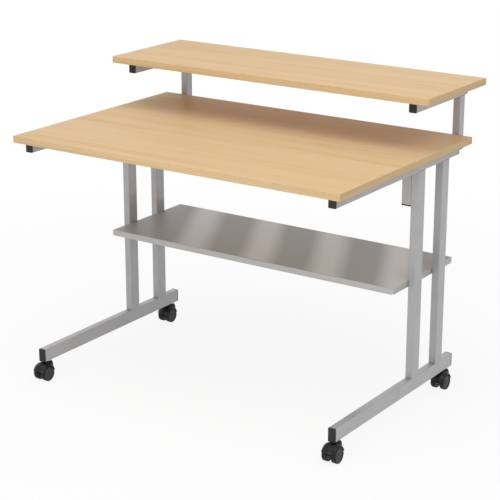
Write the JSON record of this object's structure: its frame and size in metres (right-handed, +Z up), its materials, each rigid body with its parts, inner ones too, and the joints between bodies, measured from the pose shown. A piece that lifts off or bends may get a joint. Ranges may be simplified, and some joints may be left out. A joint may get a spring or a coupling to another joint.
{
  "type": "mobile standing desk",
  "caption": "Mobile standing desk with a deep laminate worktop, a raised rear shelf and a folded steel lower shelf on welded cantilever side frames with swivel castors.",
  "frame": {"origin": "on the floor, below the middle of the desk's length and depth", "axes": "+X along the desk to the right, +Y from its front to its back, +Z up"},
  "size_m": [1.2, 0.882, 1.008],
  "materials": {
    "beech_laminate": "satin",
    "beech_edging": "satin",
    "silver_tube": "satin",
    "brushed_sheet": "brushed",
    "black_plastic": "matte",
    "hood_plastic": "satin",
    "wheel_plastic": "satin",
    "zinc_steel": "zinc plated"
  },
  "bodies": {
    "frame": {"worktop_board": "beech_laminate", "worktop_edging": "beech_edging", "upper_shelf_board": "beech_laminate", "upper_shelf_edging": "beech_edging", "lower_shelf": "brushed_sheet", "left_foot_tube": "silver_tube", "left_front_upright": "silver_tube", "left_rear_upright": "silver_tube", "left_top_bar": "silver_tube", "left_shelf_bar": "silver_tube", "left_shelf_post": "silver_tube", "left_shelf_arm": "silver_tube", "left_drop_leg": "silver_tube", "right_foot_tube": "silver_tube", "right_front_upright": "silver_tube", "right_rear_upright": "silver_tube", "right_top_bar": "silver_tube", "right_shelf_bar": "silver_tube", "right_shelf_post": "silver_tube", "right_shelf_arm": "silver_tube", "right_drop_leg": "silver_tube", "foot_plugs": "black_plastic", "top_bar_plugs": "black_plastic", "shelf_bar_plugs": "black_plastic", "shelf_frame_plugs": "black_plastic", "worktop_screws": "zinc_steel", "upper_shelf_screws": "zinc_steel", "shelf_frame_bolts": "zinc_steel", "lower_shelf_bolts": "zinc_steel", "castor_inserts": "zinc_steel", "front_left_stem": "zinc_steel", "front_right_stem": "zinc_steel", "rear_left_stem": "zinc_steel", "rear_right_stem": "zinc_steel"},
    "front_left_castor": {"front_left_hood": "hood_plastic", "front_left_axle": "zinc_steel"},
    "front_left_left_wheel": {"front_left_wheel_left": "wheel_plastic"},
    "front_left_right_wheel": {"front_left_wheel_right": "wheel_plastic"},
    "front_left_brake": {"front_left_brake_lever": "hood_plastic"},
    "front_right_castor": {"front_right_hood": "hood_plastic", "front_right_axle": "zinc_steel"},
    "front_right_left_wheel": {"front_right_wheel_left": "wheel_plastic"},
    "front_right_right_wheel": {"front_right_wheel_right": "wheel_plastic"},
    "front_right_brake": {"front_right_brake_lever": "hood_plastic"},
    "rear_left_castor": {"rear_left_hood": "hood_plastic", "rear_left_axle": "zinc_steel"},
    "rear_left_left_wheel": {"rear_left_wheel_left": "wheel_plastic"},
    "rear_left_right_wheel": {"rear_left_wheel_right": "wheel_plastic"},
    "rear_right_castor": {"rear_right_hood": "hood_plastic", "rear_right_axle": "zinc_steel"},
    "rear_right_left_wheel": {"rear_right_wheel_left": "wheel_plastic"},
    "rear_right_right_wheel": {"rear_right_wheel_right": "wheel_plastic"}
  },
  "joints": [
    {"name": "front_left_swivel", "type": "hinge", "parent": "frame", "child": "front_left_castor", "pos_m": [-0.559, -0.367, 0.054], "axis": [0, 0, 1], "continuous": true},
    {"name": "front_left_left_wheel_spin", "type": "hinge", "parent": "front_left_castor", "child": "front_left_left_wheel", "pos_m": [-0.559, -0.388, 0.025], "axis": [1, 0, 0], "continuous": true},
    {"name": "front_left_right_wheel_spin", "type": "hinge", "parent": "front_left_castor", "child": "front_left_right_wheel", "pos_m": [-0.559, -0.388, 0.025], "axis": [1, 0, 0], "continuous": true},
    {"name": "front_left_brake_tilt", "type": "hinge", "parent": "front_left_castor", "child": "front_left_brake", "pos_m": [-0.559, -0.403, 0.034], "axis": [1, 0, 0], "range_deg": [0, 18]},
    {"name": "front_right_swivel", "type": "hinge", "parent": "frame", "child": "front_right_castor", "pos_m": [0.559, -0.367, 0.054], "axis": [0, 0, 1], "continuous": true},
    {"name": "front_right_left_wheel_spin", "type": "hinge", "parent": "front_right_castor", "child": "front_right_left_wheel", "pos_m": [0.559, -0.388, 0.025], "axis": [1, 0, 0], "continuous": true},
    {"name": "front_right_right_wheel_spin", "type": "hinge", "parent": "front_right_castor", "child": "front_right_right_wheel", "pos_m": [0.559, -0.388, 0.025], "axis": [1, 0, 0], "continuous": true},
    {"name": "front_right_brake_tilt", "type": "hinge", "parent": "front_right_castor", "child": "front_right_brake", "pos_m": [0.559, -0.403, 0.034], "axis": [1, 0, 0], "range_deg": [0, 18]},
    {"name": "rear_left_swivel", "type": "hinge", "parent": "frame", "child": "rear_left_castor", "pos_m": [-0.559, 0.308, 0.054], "axis": [0, 0, 1], "continuous": true},
    {"name": "rear_left_left_wheel_spin", "type": "hinge", "parent": "rear_left_castor", "child": "rear_left_left_wheel", "pos_m": [-0.559, 0.287, 0.025], "axis": [1, 0, 0], "continuous": true},
    {"name": "rear_left_right_wheel_spin", "type": "hinge", "parent": "rear_left_castor", "child": "rear_left_right_wheel", "pos_m": [-0.559, 0.287, 0.025], "axis": [1, 0, 0], "continuous": true},
    {"name": "rear_right_swivel", "type": "hinge", "parent": "frame", "child": "rear_right_castor", "pos_m": [0.559, 0.308, 0.054], "axis": [0, 0, 1], "continuous": true},
    {"name": "rear_right_left_wheel_spin", "type": "hinge", "parent": "rear_right_castor", "child": "rear_right_left_wheel", "pos_m": [0.559, 0.287, 0.025], "axis": [1, 0, 0], "continuous": true},
    {"name": "rear_right_right_wheel_spin", "type": "hinge", "parent": "rear_right_castor", "child": "rear_right_right_wheel", "pos_m": [0.559, 0.287, 0.025], "axis": [1, 0, 0], "continuous": true}
  ]
}
